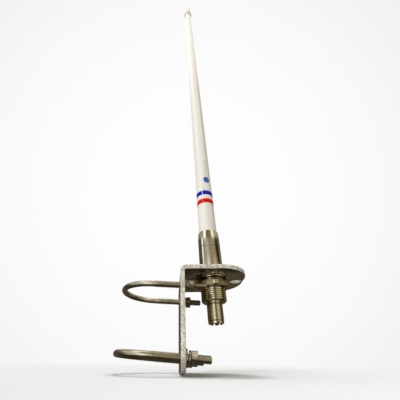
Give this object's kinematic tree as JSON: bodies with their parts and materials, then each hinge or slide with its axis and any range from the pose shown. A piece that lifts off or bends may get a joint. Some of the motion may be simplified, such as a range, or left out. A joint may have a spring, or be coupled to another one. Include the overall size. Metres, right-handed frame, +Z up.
{
  "type": "omnidirectional antenna",
  "caption": "Slim white fibreglass omnidirectional antenna with a threaded metal ferrule and coaxial socket, on an L bracket with mast U-bolts.",
  "frame": {"origin": "middle of the bracket's mast face, halfway between the two U-bolts", "axes": "+Z up along the antenna, +X from the mast face towards the antenna, +Y across the bracket"},
  "size_m": [0.1265, 0.076, 1.101],
  "materials": {
    "bracket_steel": "satin",
    "bolt_steel": "polished",
    "ferrule_nickel": "polished nickel plate",
    "radome_white": "satin gel coat over glass fibre",
    "cap_white": "moulded",
    "blue_tape": "vinyl",
    "red_tape": "vinyl",
    "gasket_rubber": "matte",
    "dielectric": "turned",
    "contact_brass": "turned",
    "coil_copper": "drawn wire",
    "spacer_foam": "open foam"
  },
  "bodies": {
    "bracket": {"bracket": "bracket_steel", "upper_near_flat_washer": "bolt_steel", "upper_near_spring_washer": "bolt_steel", "upper_far_flat_washer": "bolt_steel", "upper_far_spring_washer": "bolt_steel", "lower_near_flat_washer": "bolt_steel", "lower_near_spring_washer": "bolt_steel", "lower_far_flat_washer": "bolt_steel", "lower_far_spring_washer": "bolt_steel"},
    "antenna": {"ferrule_body": "ferrule_nickel", "ferrule_collar": "ferrule_nickel", "radome_tube": "radome_white", "top_cap": "cap_white", "red_band": "red_tape", "blue_band": "blue_tape", "upper_nut": "ferrule_nickel", "connector_shell": "ferrule_nickel", "connector_insulator": "dielectric", "connector_contact": "contact_brass", "foot_gasket": "gasket_rubber", "coil_former": "dielectric", "matching_coil": "coil_copper", "lower_radiator": "contact_brass", "phasing_former": "dielectric", "phasing_coil": "coil_copper", "upper_radiator": "contact_brass", "foam_spacer_1": "spacer_foam", "foam_spacer_2": "spacer_foam", "foam_spacer_3": "spacer_foam", "foam_spacer_4": "spacer_foam"},
    "lock_washer": {"lock_washer": "ferrule_nickel"},
    "main_nut": {"main_nut": "ferrule_nickel"},
    "upper_u_bolt": {"upper_u_bolt": "bolt_steel"},
    "upper_near_nut": {"upper_near_nut": "bolt_steel"},
    "upper_far_nut": {"upper_far_nut": "bolt_steel"},
    "lower_u_bolt": {"lower_u_bolt": "bolt_steel"},
    "lower_near_nut": {"lower_near_nut": "bolt_steel"},
    "lower_far_nut": {"lower_far_nut": "bolt_steel"}
  },
  "joints": [
    {"name": "antenna_turn", "type": "hinge", "parent": "bracket", "child": "antenna", "pos_m": [0.0355, 0, 0.04], "axis": [0, 0, 1], "continuous": true},
    {"name": "lock_washer_drop", "type": "slide", "parent": "antenna", "child": "lock_washer", "axis": [0, 0, -1], "range_m": [0, 0.0125]},
    {"name": "main_nut_spin", "type": "hinge", "parent": "lock_washer", "child": "main_nut", "pos_m": [0.0355, 0, 0.0345], "axis": [0, 0, -1], "range_deg": [0, 2480]},
    {"name": "upper_u_bolt_slide", "type": "slide", "parent": "bracket", "child": "upper_u_bolt", "axis": [0.9981, 0, -0.061], "range_m": [-0.009, 0.02]},
    {"name": "upper_near_nut_spin", "type": "hinge", "parent": "bracket", "child": "upper_near_nut", "pos_m": [0.01048, -0.03, 0.02678], "axis": [-0.9981, 0, 0.061], "range_deg": [-3241, 7201]},
    {"name": "upper_far_nut_spin", "type": "hinge", "parent": "bracket", "child": "upper_far_nut", "pos_m": [0.01048, 0.03, 0.02678], "axis": [-0.9981, 0, 0.061], "range_deg": [-3241, 7201]},
    {"name": "lower_u_bolt_slide", "type": "slide", "parent": "bracket", "child": "lower_u_bolt", "axis": [0.9954, 0, -0.0958], "range_m": [-0.009, 0.02]},
    {"name": "lower_near_nut_spin", "type": "hinge", "parent": "bracket", "child": "lower_near_nut", "pos_m": [0.01046, -0.03, -0.02862], "axis": [-0.9954, 0, 0.0958], "range_deg": [-3241, 7201]},
    {"name": "lower_far_nut_spin", "type": "hinge", "parent": "bracket", "child": "lower_far_nut", "pos_m": [0.01046, 0.03, -0.02702], "axis": [-0.9954, 0, 0.0958], "range_deg": [-3241, 7201]}
  ],
  "couplings": [
    {"joint": "lock_washer_drop", "follows": "main_nut_spin", "m_per_rad": 0.00028871},
    {"joint": "upper_near_nut_spin", "follows": "upper_u_bolt_slide", "rad_per_m": 6283.2},
    {"joint": "upper_far_nut_spin", "follows": "upper_u_bolt_slide", "rad_per_m": 6283.2},
    {"joint": "lower_near_nut_spin", "follows": "lower_u_bolt_slide", "rad_per_m": 6283.2},
    {"joint": "lower_far_nut_spin", "follows": "lower_u_bolt_slide", "rad_per_m": 6283.2}
  ]
}
